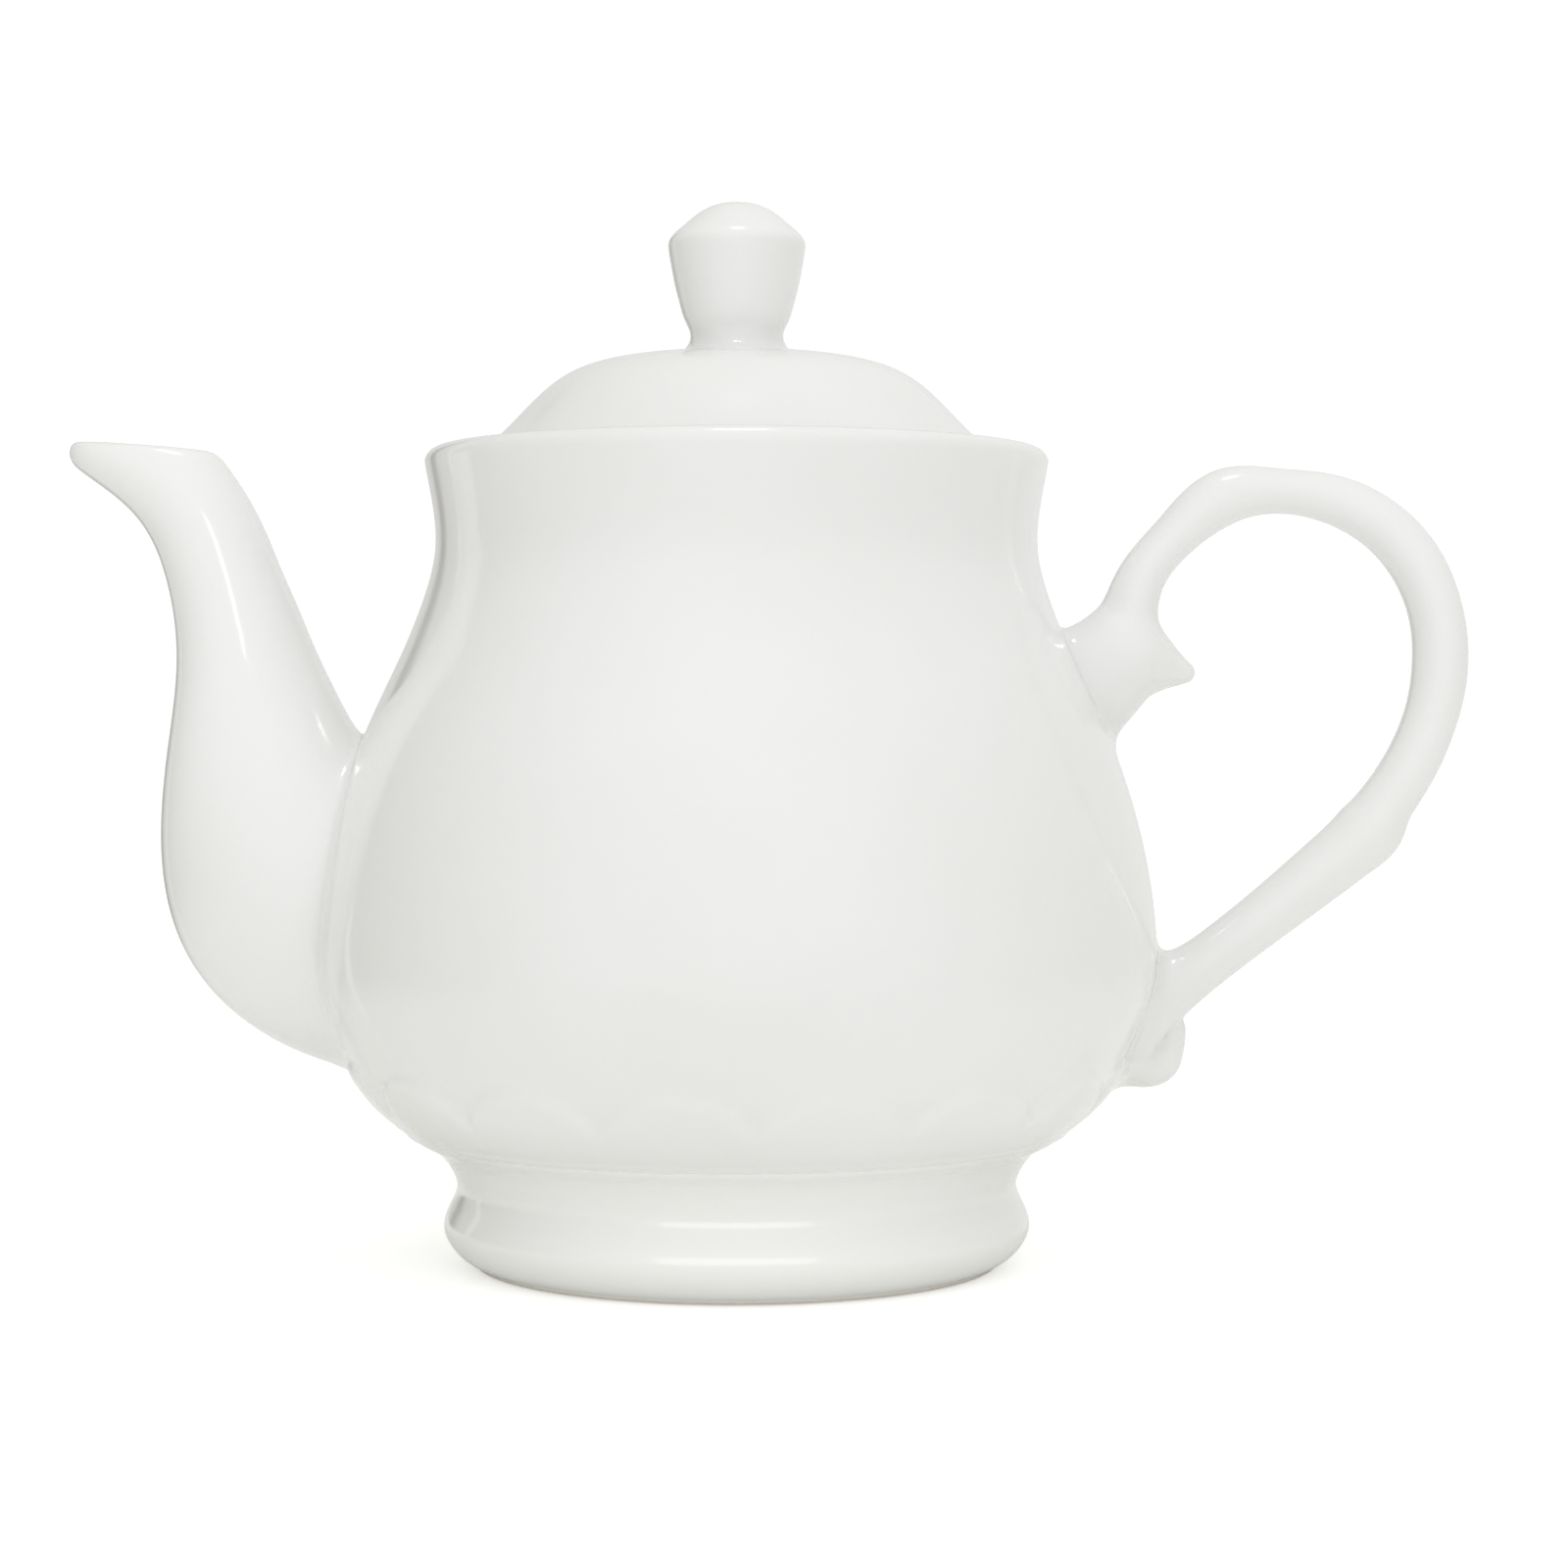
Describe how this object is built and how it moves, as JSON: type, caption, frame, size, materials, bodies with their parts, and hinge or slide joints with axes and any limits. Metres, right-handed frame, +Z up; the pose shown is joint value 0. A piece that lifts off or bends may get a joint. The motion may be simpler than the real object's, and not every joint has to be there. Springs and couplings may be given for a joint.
{
  "type": "teapot",
  "caption": "Bellied porcelain teapot with a swan-neck spout, a scrolled handle, a turned foot ring and a domed lid with a knob; the lid lifts off.",
  "frame": {"origin": "on the surface the teapot stands on, at the middle of the teapot's length and width; the pot's own axis is 5.4 mm towards the spout from it", "axes": "+Z up; +X towards the handle, -X towards the spout; +Y away from the side that faces the viewer"},
  "size_m": [0.2277, 0.1364, 0.1728],
  "materials": {
    "body_glaze": "clear gloss glaze over white porcelain",
    "foot_glaze": "clear gloss glaze over white porcelain",
    "spout_glaze": "clear gloss glaze over white porcelain",
    "handle_glaze": "clear gloss glaze over white porcelain",
    "lid_glaze": "clear gloss glaze over white porcelain",
    "knob_glaze": "clear gloss glaze over white porcelain",
    "bare_porcelain": "unglazed, ground flat"
  },
  "bodies": {
    "pot": {"pot_body": "body_glaze", "foot_ring": "foot_glaze", "spout": "spout_glaze", "handle": "handle_glaze"},
    "lid": {"lid": "lid_glaze", "lid_knob": "knob_glaze"}
  },
  "joints": [
    {"name": "lid_lift", "type": "slide", "parent": "pot", "child": "lid", "axis": [0, 0, 1], "range_m": [0, 0.06]}
  ]
}
